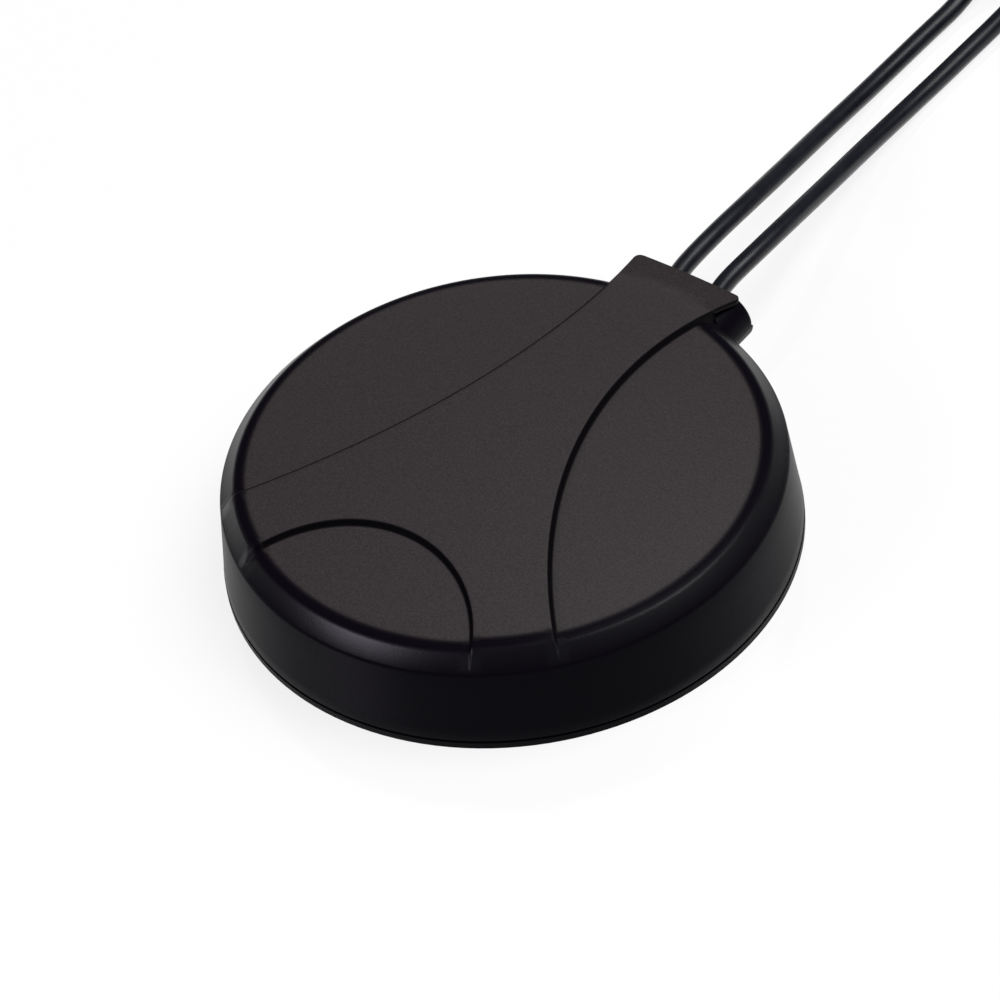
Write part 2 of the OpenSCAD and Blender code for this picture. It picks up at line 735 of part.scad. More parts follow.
module ferrule(i) {
    color(gold_colour) at_plug(i) translate([0, 0, ferrule_z]) difference() {
        cylinder(r = ferrule_r, h = stub_z - 0.1 - ferrule_z);
        translate([0, 0, -eps]) cylinder(r = stub_r + 0.03, h = stub_end);
    }
}

// Heat-shrink sleeve over ferrule and cable
module boot(i) {
    color([0.09, 0.09, 0.1]) at_plug(i) difference() {
        translate([0, 0, boot_z]) union() {
            cylinder(r = ferrule_r + 0.45, h = stub_z - 0.6 - boot_z);
        }
        translate([0, 0, ferrule_z - 0.1]) cylinder(r = ferrule_r + 0.02, h = stub_end);
        translate([0, 0, boot_z - eps]) cylinder(r = cable_r + 0.02, h = stub_end);
    }
}

top_cover();
base_plate();
seal_ring();
mounting_pad();
base_screws();
main_board();
board_screws();
patch_tape();
gps_patch();
patch_electrode();
feed_pin();
shield_can();
amplifier_parts();
cell_carrier();
cell_element();
matching_parts();
solder_joints();
cable_grommet();
cable_clamp();
clamp_screw();
cable_lead(GPS);  // gps_lead
cable_lead(CELL);  // cell_lead
cord(GPS);  // gps_cord
coil(GPS);  // gps_coil
tie(GPS);  // gps_tie
cord_end(GPS);  // gps_cord_end
boot(GPS);  // gps_boot
ferrule(GPS);  // gps_ferrule
plug_body(GPS);  // gps_plug_body
plug_nut(GPS);  // gps_plug_nut
snap_ring(GPS);  // gps_snap_ring
gasket(GPS);  // gps_gasket
insulator(GPS);  // gps_insulator
pin(GPS);  // gps_pin
cord(CELL);  // cell_cord
coil(CELL);  // cell_coil
tie(CELL);  // cell_tie
cord_end(CELL);  // cell_cord_end
boot(CELL);  // cell_boot
ferrule(CELL);  // cell_ferrule
plug_body(CELL);  // cell_plug_body
plug_nut(CELL);  // cell_plug_nut
snap_ring(CELL);  // cell_snap_ring
gasket(CELL);  // cell_gasket
insulator(CELL);  // cell_insulator
pin(CELL);  // cell_pin
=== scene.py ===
# %% [markdown]
# # A low round roof antenna with two coax cables
# The real object is a domed plastic puck, 80 mm wide, that sits on a vehicle's roof.
# A raised star with three arms runs over its top, and one arm ends over a small nose,
# where two thin cables come out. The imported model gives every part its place, so each
# piece here is made where that model says, in metres.

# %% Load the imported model
import json
import math

import bmesh
import bpy
import numpy as np
from mathutils import Matrix, Vector
from mathutils.geometry import delaunay_2d_cdt

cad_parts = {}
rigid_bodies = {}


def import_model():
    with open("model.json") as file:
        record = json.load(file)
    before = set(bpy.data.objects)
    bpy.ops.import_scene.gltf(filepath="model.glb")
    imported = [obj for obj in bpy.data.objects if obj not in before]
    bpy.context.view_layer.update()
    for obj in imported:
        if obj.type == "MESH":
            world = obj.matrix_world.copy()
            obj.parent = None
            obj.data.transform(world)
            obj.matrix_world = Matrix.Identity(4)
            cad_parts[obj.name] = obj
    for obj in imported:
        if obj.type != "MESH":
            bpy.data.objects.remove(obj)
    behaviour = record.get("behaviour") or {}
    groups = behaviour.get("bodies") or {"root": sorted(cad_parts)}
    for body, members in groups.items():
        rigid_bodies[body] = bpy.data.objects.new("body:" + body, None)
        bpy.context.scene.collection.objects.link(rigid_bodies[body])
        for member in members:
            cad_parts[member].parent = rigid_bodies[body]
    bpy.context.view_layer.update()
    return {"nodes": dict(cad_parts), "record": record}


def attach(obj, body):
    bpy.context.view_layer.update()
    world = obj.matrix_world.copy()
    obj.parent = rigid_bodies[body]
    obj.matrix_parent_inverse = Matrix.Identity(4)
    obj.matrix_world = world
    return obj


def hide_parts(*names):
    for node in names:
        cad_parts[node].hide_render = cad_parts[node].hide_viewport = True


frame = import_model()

MM = 0.001
BODY = "antenna"


def note(title, **facts):
    """Prints what a cell made, in one line."""
    print(f"{title}:", ", ".join(f"{k} {v}" for k, v in facts.items()))


# %% [markdown]
# ## Camera
# A photograph of a small product is taken from some distance with a long lens, so
# that its ellipses look calm. The camera here stands 1.5 m away and looks down at
# about 44 degrees. It is turned a little about its own line of sight, because the
# horizon of the photograph isn't quite level.

# %% Set up the camera
SENSOR = 36
LENS_PX = 10959.8
DISTANCE = 1500 * MM
ELEVATION = math.radians(43.839)
ROLL = math.radians(-8.768)
TURN = math.radians(42.87)
SIDEWAYS = -1.964 * MM
UPWARDS = 5.332 * MM


def seen_axes():
    """The camera's right, up and forward directions in the object's frame."""
    east = Vector((math.cos(TURN), math.sin(TURN), 0))
    north = Vector((-math.sin(TURN), math.cos(TURN), 0))
    forward = north * math.cos(ELEVATION) - Vector((0, 0, math.sin(ELEVATION)))
    up = north * math.sin(ELEVATION) + Vector((0, 0, math.cos(ELEVATION)))
    right = east * math.cos(ROLL) + up * math.sin(ROLL)
    return right, up * math.cos(ROLL) - east * math.sin(ROLL), forward


def add_camera():
    right, up, forward = seen_axes()
    data = bpy.data.cameras.new("photo_camera")
    data.sensor_width = SENSOR
    data.lens = SENSOR * LENS_PX / 1000
    data.clip_start, data.clip_end = 0.1, 20
    camera = bpy.data.objects.new("photo_camera", data)
    bpy.context.scene.collection.objects.link(camera)
    turned = Matrix((right, up, -forward)).transposed().to_4x4()
    place = right * SIDEWAYS + up * UPWARDS - forward * DISTANCE
    camera.matrix_world = Matrix.Translation(place) @ turned
    bpy.context.scene.camera = camera
    return camera


camera = add_camera()
bpy.context.scene.view_settings.view_transform = "Standard"
note("camera", lens_mm=round(camera.data.lens, 1), place=[round(v, 3) for v in camera.location])

# %% [markdown]
# ## Cables
# Each cable is thin black coax, 2.8 mm across, of the kind that is sold in a length of
# 3 m. Near the housing it comes out level, bends down and lies on the table. What the
# photograph doesn't show is wound up for storage. One smooth curve follows the route and
# then every turn of the coil, so that its length can be measured along its own line. The
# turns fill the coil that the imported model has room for, and they come out a little
# short of 3 m.

# %% Routes of the cables
CABLE_R = 1.4
LAYER = 2.85
COIL_R = 23.4
TURN_POINTS = 40
ROUTES = {
    "gps": [(-3.5, 43.2, 11), (-4.1, 48, 11), (-4.3, 55, 10.8), (-4.9, 63, 9.6),
            (-6.7, 74, 6.6), (-8.6, 86, 3.5), (-9.4, 97, 1.8), (-9.4, 107, 1.4), (-9, 118, 1.5),
            (-8.6, 128, 4.4), (-8.2, 138, 10), (-7.9, 148, 16.4), (-7.8, 155, 19.2)],
    "cell": [(3.5, 43.2, 11), (2.9, 48, 11), (2.9, 55, 10.8), (2.3, 63, 9.6),
             (0.5, 74, 6.6), (-1.4, 86, 3.5), (-2.2, 97, 1.8), (-2.1, 107, 1.4), (-1.8, 118, 1.4),
             (-1.8, 128, 1.6), (-1.8, 138, 2.6), (-1.8, 148, 4.1), (-1.8, 155, 4.7)],
}
COIL_AT = {"gps": (20.5, 160, 22.9), "cell": (26.5, 160, 7.7)}
LAST_TURN = {"gps": 0.5, "cell": 0.25}
ENDS = {
    "gps": [(48.8, 156, 22.8), (48.8, 150, 22.2), (48.8, 143, 19.6), (48.8, 135, 14.6),
            (48.8, 127, 9.4), (48.8, 119, 6.1), (48.8, 110, 4.9), (48.8, 102, 4.85),
            (48.8, 96.1, 4.85)],
    "cell": [(31, 188.3, 7.7), (37, 188.3, 7.5), (44, 188.3, 6.4), (51, 188.3, 5.2),
             (57, 188.3, 4.85), (62.4, 188.3, 4.85)],
}
# The order in which the turns fill the bundle, as (column outwards, step upwards)
FILLING = [(2, -1), (1, -1.5), (0, -2), (-1, -1.5), (-2, -1), (-2, 0), (-1, -0.5), (0, -1),
           (1, -0.5), (0, 0), (-1, 0.5), (-2, 1), (-1, 1.5), (0, 2), (0, 1), (1, 0.5),
           (1, 1.5), (2, 1), (2, 0)]


def spline_points(points, steps):
    """Points on a smooth curve through the given ones."""
    p = [Vector(q) for q in points]
    p = [2 * p[0] - p[1]] + p + [2 * p[-1] - p[-2]]
    out = []
    for a, b, c, d in zip(p, p[1:], p[2:], p[3:]):
        for k in range(steps):
            t = k / steps
            out.append(0.5 * (2 * b + (c - a) * t + (2 * a - 5 * b + 4 * c - d) * t * t
                              + (3 * b - a - 3 * c + d) * t ** 3))
    return out + [p[-2]]


def coil_points(which):
    """All turns of one coil, from the route's end to the stretch with the plug."""
    column = math.sqrt(3) / 2 * LAYER
    slots = [(out * column, up * LAYER) for out, up in FILLING]
    x0, y0, z0 = COIL_AT[which]
    points = []
    for k in range(1, int((len(slots) - 1 + LAST_TURN[which]) * TURN_POINTS)):
        turns = k / TURN_POINTS
        here = int(turns)
        after = min(here + 1, len(slots) - 1)
        t = min(max((turns - here - 0.70) / 0.26, 0), 1)
        t = t * t * (3 - 2 * t)
        r = COIL_R + slots[here][0] * (1 - t) + slots[after][0] * t
        z = z0 + slots[here][1] * (1 - t) + slots[after][1] * t
        angle = 2 * math.pi * turns
        points.append(Vector((x0 - r * math.cos(angle), y0 + r * math.sin(angle), z)))
    return points


def cable_points(which):
    points = spline_points(ROUTES[which], 6) + coil_points(which) + spline_points(ENDS[which], 5)
    for p in points:
        p.z = max(p.z, CABLE_R)
    return points


def add_cable(which):
    points = cable_points(which)
    data = bpy.data.curves.new(f"{which}_cable", "CURVE")
    data.dimensions = "3D"
    data.bevel_depth = CABLE_R * MM
    data.bevel_resolution = 5
    data.use_fill_caps = True
    spline = data.splines.new("POLY")
    spline.points.add(len(points) - 1)
    for target, p in zip(spline.points, points):
        target.co = (*(p * MM), 1)
    spline.use_smooth = True
    cable = bpy.data.objects.new(f"{which}_cable", data)
    bpy.context.scene.collection.objects.link(cable)
    bpy.ops.object.select_all(action="DESELECT")
    cable.select_set(True)
    bpy.context.view_layer.objects.active = cable
    bpy.ops.object.convert(target="MESH")
    bpy.ops.object.shade_smooth()
    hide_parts(f"{which}_cord", f"{which}_coil", f"{which}_cord_end")
    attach(cable, BODY)
    length = sum((b - a).length for a, b in zip(points, points[1:])) * MM
    note(cable.name, points=len(points), length_m=round(length, 3))
    return cable


cables = {which: add_cable(which) for which in ROUTES}

# %% [markdown]
# ## Profile of the cover
# The cover is one moulded shell. Seen from the side, its top is a shallow dome that
# rolls over into a sloping shoulder and an almost upright wall. A star stands proud of
# the top. Its profile is the same, only higher, and both meet at the shoulder's foot.

# %% Heights of field and star over the radius
DOME_R, EDGE_R, EDGE_ROUND = 165, 36.05, 2
SHOULDER, SHOULDER_ROUND = 2.45, 1.2
FIELD_H, STAR_STEP = 19.45, 0.8
FOOT_R, FOOT_Z, SPLIT_Z = 39.95, 1.2, 9.4
DOME_POINTS, EDGE_POINTS, LOW_POINTS = 60, 14, 5
SHOULDER_SLOPE, STAR_SLOPE, WALL_SLOPE, TOP_END_SLOPE = map(math.radians, (48, 60, 84, 62))


def on_arc(centre, r, slope):
    return centre + r * np.array([math.sin(slope), math.cos(slope)])


def dome_drop(r):
    return DOME_R - np.sqrt(DOME_R ** 2 - np.square(r))


dome_slope = math.asin(EDGE_R / DOME_R)
edge_c = np.array([EDGE_R, FIELD_H - dome_drop(EDGE_R)]) - on_arc(0, EDGE_ROUND, dome_slope)
shoulder_top = on_arc(edge_c, EDGE_ROUND, SHOULDER_SLOPE)
down_slope = np.array([math.cos(SHOULDER_SLOPE), -math.sin(SHOULDER_SLOPE)])
shoulder_low = shoulder_top + SHOULDER * down_slope
wall_c = shoulder_low - on_arc(0, SHOULDER_ROUND, SHOULDER_SLOPE)


def top_profile(lift, slope_end):
    """(radius, height) from the middle to where the shoulder's lower rounding turns steep."""
    out = np.linspace(0, EDGE_R, DOME_POINTS)
    dome = [np.array([r, FIELD_H + lift - dome_drop(r)]) for r in out]
    slopes = np.linspace(dome_slope, slope_end, EDGE_POINTS)[1:]
    edge = [on_arc(edge_c + [0, lift], EDGE_ROUND, a) for a in slopes]
    slopes = np.linspace(SHOULDER_SLOPE, TOP_END_SLOPE, LOW_POINTS)
    low = [on_arc(wall_c, SHOULDER_ROUND, a) for a in slopes]
    return np.array(dome + edge + low)


field_line = top_profile(0, SHOULDER_SLOPE)
star_line = top_profile(STAR_STEP, STAR_SLOPE)
TOP_END_R = field_line[-1][0]
note("cover profile", shoulder_low=shoulder_low.round(2), top_end_r=round(TOP_END_R, 2))

# %% [markdown]
# ## Outline of the star
# Three circles cut the fields out of the top: a large one on either side and a small one
# in front. What is left is the star. Its rear arm runs straight on past the dome's edge
# and becomes a thin tongue over the nose.

# %% Distances to the star's outline
SIDE_X, SIDE_Y, SIDE_R = 78.7, 25.6, 71.8
FRONT_Y, FRONT_R = -41.4, 20.9
NOSE_Y, TONGUE_CORNER, TONGUE_T = 43.5, 1.2, 0.9
EDGE_SOFT, EDGE_SINK, FOOT_W, FOOT_CURVE = 0.25, 0.2, 0.3, 1.6
ARM_Y = 15


def side_distance(x, y):
    """How far a point is from the nearer side field, positive on the star."""
    return np.hypot(SIDE_X - np.abs(x), y - SIDE_Y) - SIDE_R


def outline_distance(x, y):
    """The same for all fields and for the tongue's far edge."""
    side = side_distance(x, y)
    front = np.hypot(x, y - FRONT_Y) - FRONT_R
    far = NOSE_Y - y
    corner = TONGUE_CORNER - np.hypot(np.maximum(TONGUE_CORNER - side, 0),
                                      np.maximum(TONGUE_CORNER - far, 0))
    at_corner = (side < TONGUE_CORNER) & (far < TONGUE_CORNER)
    return np.where(at_corner, corner, np.minimum(np.minimum(side, front), far))


def top_height(x, y):
    """Height of the cover's top over a point."""
    r = np.hypot(x, y)
    d = outline_distance(x, y)
    field = np.interp(r, *field_line.T)
    star = np.where(y > ARM_Y, FIELD_H + STAR_STEP - dome_drop(r), np.interp(r, *star_line.T))
    step = star - field
    sink = EDGE_SINK * np.clip(step / STAR_STEP, 0, 1)
    soft = star - sink * np.square(1 - np.clip(d / EDGE_SOFT, 0, 1))
    wall = np.power(np.clip(1 + d / FOOT_W, 0, 1), FOOT_CURVE)
    return np.where(d >= 0, soft, field + (step - sink) * wall)


# %% [markdown]
# ## Mesh of the cover's top
# An even grid would blur the star's thin steps, or need millions of faces. So the points
# are laid where the shape needs them: rows along each step, rings where the dome rolls
# over, and a loose grid on the calm areas. A Delaunay triangulation joins them, and each
# point is then lifted to its height.

# %% Rows of points along the steps
ROWS = [-1.1, -0.6, -0.34, -0.3, -0.24, -0.18, -0.12, -0.06, 0, 0.05, 0.1, 0.16, 0.25, 0.5, 1.0]
ROW_STEP, CALM_STEP, RING_POINTS = 0.6, 1.7, 320
corner_c = np.array([SIDE_X - math.sqrt((SIDE_R + TONGUE_CORNER) ** 2
                                        - (NOSE_Y - TONGUE_CORNER - SIDE_Y) ** 2),
                     NOSE_Y - TONGUE_CORNER])
corner_turn = math.atan2(SIDE_Y - corner_c[1], SIDE_X - corner_c[0])
low_turn = math.radians(62)


def side_row(d, inside_only):
    """Points along the right-hand field's edge, d inside the star, from front to tongue."""
    turns = np.arange(corner_turn, low_turn, ROW_STEP / SIDE_R)[::-1]
    points = np.array([SIDE_X, SIDE_Y]) - (SIDE_R + d) * np.stack([np.cos(turns), np.sin(turns)], 1)
    r = np.hypot(*points.T)
    keep = r < TOP_END_R - 0.12
    if not inside_only:
        keep |= points[:, 1] > 30
    return points[keep]


def corner_row(d):
    turns = np.linspace(corner_turn, math.pi / 2, 7)
    return corner_c + (TONGUE_CORNER - d) * np.stack([np.cos(turns), np.sin(turns)], 1)


def front_row(d):
    turns = np.arange(0, 2 * math.pi, ROW_STEP / FRONT_R)
    points = np.array([0, FRONT_Y]) + (FRONT_R + d) * np.stack([np.cos(turns), np.sin(turns)], 1)
    return points[np.hypot(*points.T) < TOP_END_R - 0.12]


def mirrored(points):
    return np.concatenate([points, points * [-1, 1]])


# %% [markdown]
# ## Border of the top
# The border has to be one closed line, so that the walls can hang from it. It runs round
# the foot of the shoulder's rounding and then along the tongue's edge. Two of its points
# lie exactly where the opening for the nose starts.

# %% Close the border of the top
# Where the tongue's edge meets the end of the rounded shoulder
turns = np.linspace(corner_turn, 0.0, 4000)
edge = np.array([SIDE_X, SIDE_Y]) - SIDE_R * np.stack([np.cos(turns), np.sin(turns)], 1)
meet = edge[np.argmin(np.abs(np.hypot(*edge.T) - TOP_END_R))]
meet_turn = math.atan2(meet[0], meet[1])
SLOT_X = 10.4
ring_turns = np.linspace(meet_turn, 2 * math.pi - meet_turn, RING_POINTS)
slot_turn = math.asin(SLOT_X / FOOT_R)
for goal in (slot_turn, 2 * math.pi - slot_turn):
    ring_turns[np.argmin(np.abs(ring_turns - goal))] = goal
circle = TOP_END_R * np.stack([np.sin(ring_turns), np.cos(ring_turns)], 1)

tongue_side = side_row(0, False)
tongue_side = tongue_side[(np.hypot(*tongue_side.T) > TOP_END_R + 0.2) & (tongue_side[:, 1] > 30)]
tongue_side = tongue_side[np.argsort(-tongue_side[:, 1])][1:]
far_x = np.arange(-corner_c[0] + ROW_STEP, corner_c[0] - 0.3, ROW_STEP)
right = np.concatenate([corner_row(0)[::-1], tongue_side])
far_edge = np.stack([far_x, np.full(len(far_x), NOSE_Y)], 1)
tongue = np.concatenate([(right * [-1, 1])[::-1], far_edge, right])
outline = np.concatenate([circle, tongue])
note("border", ring=len(circle), tongue=len(tongue))

# %% [markdown]
# ## Points inside the border
# The rows beside the steps come first. Rings and a loose grid fill the rest, and keep
# clear of the rows, because points that lie too close together make thin triangles.

# %% Fill the top with points
RING_RADII = [32.2, 33.3, 34.2, 34.8, 35.1, 35.4, 35.75]
GRID_R, CLEARANCE = 31.3, 1.3
loose = []
for d in ROWS:
    if d < 0:
        loose.append(mirrored(side_row(d, True)))
    else:
        row = side_row(d, False)
        loose.append(mirrored(row if d else row[np.hypot(*row.T) < TOP_END_R - 0.12]))
    loose.append(front_row(d))
    if d > 0:
        loose.append(mirrored(corner_row(d)))
        loose.append(np.stack([far_x, np.full(len(far_x), NOSE_Y - d)], 1))
calm = []
for r in RING_RADII + [p[0] for p in field_line[DOME_POINTS:-1]]:
    a = np.arange(RING_POINTS) * 2 * math.pi / RING_POINTS
    ring = r * np.stack([np.sin(a), np.cos(a)], 1)
    calm.append(ring[~((ring[:, 1] > 20) & (side_distance(*ring.T) > 0))])
gx, gy = np.meshgrid(np.arange(-24, 25) * CALM_STEP, np.arange(-28, 31) * CALM_STEP * 0.866)
gx = gx + (np.arange(gx.shape[0])[:, None] % 2) * CALM_STEP / 2
grid = np.stack([gx.ravel(), gy.ravel()], 1)
in_arm = (grid[:, 1] > 20) & (side_distance(*grid.T) > 0) & (grid[:, 1] < NOSE_Y)
calm.append(grid[(np.hypot(*grid.T) < GRID_R) | in_arm])
calm = np.concatenate(calm)
to_front = np.hypot(calm[:, 0], calm[:, 1] - FRONT_Y) - FRONT_R
clear = (np.abs(side_distance(*calm.T)) > CLEARANCE) & (np.abs(to_front) > CLEARANCE)
clear &= (calm[:, 1] < NOSE_Y - CLEARANCE) & (outline_distance(*calm.T) != 0)
loose.append(calm[clear])
flat = np.concatenate([outline] + loose)
note("points of the top", outline=len(outline), all=len(flat))

# %% [markdown]
# ## Walls of the cover
# The walls hang from the border in rows of four-sided faces: down the rounding and the
# wall, round the foot, and up again on the inside.

# %% Join the points and give the cover its walls
loop = list(range(len(outline)))
flat_out, _, top_faces, origin, _, _ = delaunay_2d_cdt(
    [Vector(p) for p in flat], list(zip(loop, loop[1:] + loop[:1])), [], 1, 1e-5)
flat_out = np.array([tuple(p) for p in flat_out])
cover_mesh = bmesh.new()
heights = top_height(*flat_out.T)
verts = [cover_mesh.verts.new((*p, z)) for p, z in zip(flat_out, heights)]
for face in top_faces:
    cover_mesh.faces.new([verts[i] for i in face])
place = {first: i for i, ids in enumerate(origin) for first in ids}
rim_verts = [verts[place[i]] for i in loop]
top_count = len(verts)
note("top of the cover", faces=len(cover_mesh.faces))


def add_rows(first, rows, closed=False):
    """Faces between one row of vertices and the next."""
    rows = [first] + [[cover_mesh.verts.new(p) for p in row] for row in rows]
    for above, below in zip(rows, rows[1:]):
        for i in range(len(above) - (0 if closed else 1)):
            j = (i + 1) % len(above)
            cover_mesh.faces.new((above[i], below[i], below[j], above[j]))
    return rows[-1]


def round_row(r, z):
    return [(r * math.sin(a), r * math.cos(a), z) for a in ring_turns]


foot = [on_arc(wall_c, SHOULDER_ROUND, a) for a in np.linspace(TOP_END_SLOPE, WALL_SLOPE, 5)[1:]]


def wall_x(z):
    """Radius of the almost upright wall at a height."""
    return np.interp(z, [FOOT_Z, foot[-1][1]], [FOOT_R, foot[-1][0]])


INSIDE = [(37.75, FOOT_Z), (36.7, 11), (36.2, 12.6), (34, 14.2), (30, 15), (20, 16.3)]
rows = [round_row(*p) for p in foot] + [round_row(wall_x(z), z) for z in (SPLIT_Z, 6, 3, FOOT_Z + 0.15)]
rows += [round_row(FOOT_R - 0.05, FOOT_Z + 0.04), round_row(FOOT_R - 0.15, FOOT_Z)]
rows += [round_row(*p) for p in INSIDE]
ring = len(circle)
inner = add_rows(rim_verts[:ring], rows)
cover_mesh.faces.new(inner)


def tongue_row(inwards, down):
    """The tongue's edge, moved in and down."""
    points = np.array([tuple(v.co) for v in rim_verts[ring:] + [rim_verts[0]]])
    points = np.concatenate([[tuple(rim_verts[ring - 1].co)], points])
    along = np.gradient(points[:, :2], axis=0)
    along /= np.linalg.norm(along, axis=1)[:, None]
    flat_points = points[:, :2] + inwards * np.stack([along[:, 1], -along[:, 0]], 1)
    return [(*p, z - down) for p, z in zip(flat_points, points[:, 2])]


first = [rim_verts[ring - 1]] + rim_verts[ring:] + [rim_verts[0]]
add_rows(first, [tongue_row(0, 0.5), tongue_row(0.05, 0.6), tongue_row(0.15, 0.66),
                 tongue_row(1.0, 0.68), tongue_row(1.0, 3.0)])

# %% [markdown]
# ## Nose
# The nose is the round-sided snout that clamps the cables. Its upper half belongs to the
# cover, its lower half to the base, and a fine parting line runs between them.

# %% Upper half of the nose
NOSE_HALF, NOSE_Z, NOSE_R, CHANNEL_R = 6, 9.9, 4.2, 2.95
PARTING = SPLIT_Z + 0.05
NOSE_STEPS = 14


def nose_loop(r, y):
    """The outline above the parting line, from right to left."""
    start = math.asin((PARTING - NOSE_Z) / r)
    turns = np.linspace(start, math.pi / 2, NOSE_STEPS)
    half = [(NOSE_HALF + r * math.cos(a), y, NOSE_Z + r * math.sin(a)) for a in turns]
    return half + [(-x, y, z) for x, y, z in reversed(half)]


nose_rows = [(NOSE_R, 36), (NOSE_R, 42.9), (NOSE_R - 0.06, 43.2), (NOSE_R - 0.2, 43.42),
             (NOSE_R - 0.4, 43.5), (CHANNEL_R + 0.2, 43.5), (CHANNEL_R + 0.05, 43.4),
             (CHANNEL_R, 43.2), (CHANNEL_R, 36)]
nose = [[cover_mesh.verts.new(p) for p in nose_loop(r, y)] for r, y in nose_rows]
for here, after in zip(nose, nose[1:]):
    for i in range(len(here) - 1):
        cover_mesh.faces.new((here[i], after[i], after[i + 1], here[i + 1]))
for end in (0, -1):
    cover_mesh.faces.new([row[end] for row in nose])
note("cover", faces=len(cover_mesh.faces))

# %% Finish the cover
SLOT_Y, SLOT_TOP = 34.8, SPLIT_Z - 0.1


def in_slot(face):
    """True for the wall's faces where the nose comes out, below the parting line."""
    middle = face.calc_center_median()
    low = middle.z < SLOT_TOP and max(v.co.z for v in face.verts) < SPLIT_Z + 0.2
    return low and abs(middle.x) < SLOT_X and middle.y > SLOT_Y


slot_faces = [f for f in cover_mesh.faces if in_slot(f)]
bmesh.ops.delete(cover_mesh, geom=slot_faces, context="FACES_ONLY")
bmesh.ops.scale(cover_mesh, vec=(MM, MM, MM), verts=cover_mesh.verts)
bmesh.ops.recalc_face_normals(cover_mesh, faces=cover_mesh.faces)
data = bpy.data.meshes.new("cover_shell")
cover_mesh.to_mesh(data)
cover_mesh.free()
cover = bpy.data.objects.new("cover_shell", data)
bpy.context.scene.collection.objects.link(cover)
bpy.ops.object.select_all(action="DESELECT")
cover.select_set(True)
bpy.context.view_layer.objects.active = cover
bpy.ops.object.shade_smooth_by_angle(angle=math.radians(50))
note("nose slot", faces_removed=len(slot_faces))

# %% [markdown]
# ## Areas of the cover
# The grained top and the smoother shoulder and wall are one moulding. The darker colour of
# shoulder and wall is partly their smoother finish and partly painted shade on these steep
# sides. A dark line along each step is painted shade in the step's crease. So each point
# carries a few values that say how much it belongs to each area, and the finish reads them.

# %% Mark the areas of the cover

def add_mask(name, top_values, elsewhere):
    """A value per point: its own on the top, and one for walls, nose and inside."""
    values = np.full(len(data.vertices), elsewhere, dtype=np.float32)
    values[:top_count] = top_values
    data.attributes.new(name, "FLOAT", "POINT").data.foreach_set("value", values)


def smooth_step(value, low, high):
    t = np.clip((value - low) / (high - low), 0, 1)
    return t * t * (3 - 2 * t)


far_out = np.hypot(*flat_out.T)
on_tongue = (flat_out[:, 1] > 20) & (side_distance(*flat_out.T) > -0.05)
left_side = (flat_out[:, 0] < 0) & (outline_distance(*flat_out.T) == side_distance(*flat_out.T))
to_line = np.abs(outline_distance(*flat_out.T) - np.where(left_side, 0.15, -0.12))
add_mask("shoulder", np.where(on_tongue, 0, smooth_step(far_out, 34.9, 35.6)), 1)
add_mask("band", smooth_step(far_out, 36.5, 37.1), 1)
add_mask("wall", smooth_step(far_out, 38.2, TOP_END_R), 1)
# Painted shade: a dark line along each step. On the left-hand field it lies on the star's rim, elsewhere
# at the step's foot. It fades out at the dome's edge but runs on beside the tongue.
line = 1 - smooth_step(to_line, 0.2, 0.4)
beside_tongue = (flat_out[:, 1] > 25) & (flat_out[:, 0] > 0)
line *= np.where(beside_tongue, 1, 1 - smooth_step(far_out, 35.2, 36.0))
add_mask("line", np.where(NOSE_Y - flat_out[:, 1] < side_distance(*flat_out.T), 0, line), 0)
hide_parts("top_cover")
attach(cover, BODY)
note("cover shell", triangles=sum(len(p.vertices) - 2 for p in data.polygons))

# %% [markdown]
# ## Finishes
# Each material is made from a few nodes. Fine noise gives the grain of moulded plastic,
# and a slower noise makes its gloss vary a little, as no real surface is quite even.

# %% Material helpers


def new_material(name, colour, roughness, metallic=0.0, specular=0.5):
    """A material with its shader's own values set, and its node tree for more."""
    material = bpy.data.materials.new(name)
    material.use_nodes = True
    shader = material.node_tree.nodes["Principled BSDF"]
    shader.inputs["Base Color"].default_value = (*colour, 1)
    shader.inputs["Roughness"].default_value = roughness
    shader.inputs["Metallic"].default_value = metallic
    shader.inputs["Specular IOR Level"].default_value = specular
    return material, material.node_tree, shader


def add_node(tree, kind, **values):
    """A node with its properties and unlinked inputs set by name."""
    made = tree.nodes.new(kind)
    for key, value in values.items():
        if hasattr(made, key):
            setattr(made, key, value)
        else:
            made.inputs[key.replace("_", " ")].default_value = value
    return made


def object_noise(tree, size_mm, detail=2.0):
    """Noise whose features are about size_mm across, fixed to the object."""
    place = add_node(tree, "ShaderNodeTexCoord")
    noise = add_node(tree, "ShaderNodeTexNoise", Scale=1 / (size_mm * MM), Detail=detail)
    tree.links.new(place.outputs["Object"], noise.inputs["Vector"])
    return noise.outputs["Fac"]


def ramp(tree, factor, low, high, start=0.35, stop=0.65):
    """Blends between two colours or values as the factor goes from start to stop."""
    made = add_node(tree, "ShaderNodeValToRGB")
    made.color_ramp.elements[0].position, made.color_ramp.elements[1].position = start, stop
    made.color_ramp.elements[0].color = (*low, 1)
    made.color_ramp.elements[1].color = (*high, 1)
    tree.links.new(factor, made.inputs["Fac"])
    return made.outputs["Color"]


def add_bump(tree, shader, height, depth_mm, strength=1.0):
    """Bump on top of what the shader's normal already has."""
    bump = add_node(tree, "ShaderNodeBump", Strength=strength, Distance=depth_mm * MM)
    tree.links.new(height, bump.inputs["Height"])
    old = shader.inputs["Normal"].links
    if old:
        tree.links.new(old[0].from_socket, bump.inputs["Normal"])
    tree.links.new(bump.outputs["Normal"], shader.inputs["Normal"])


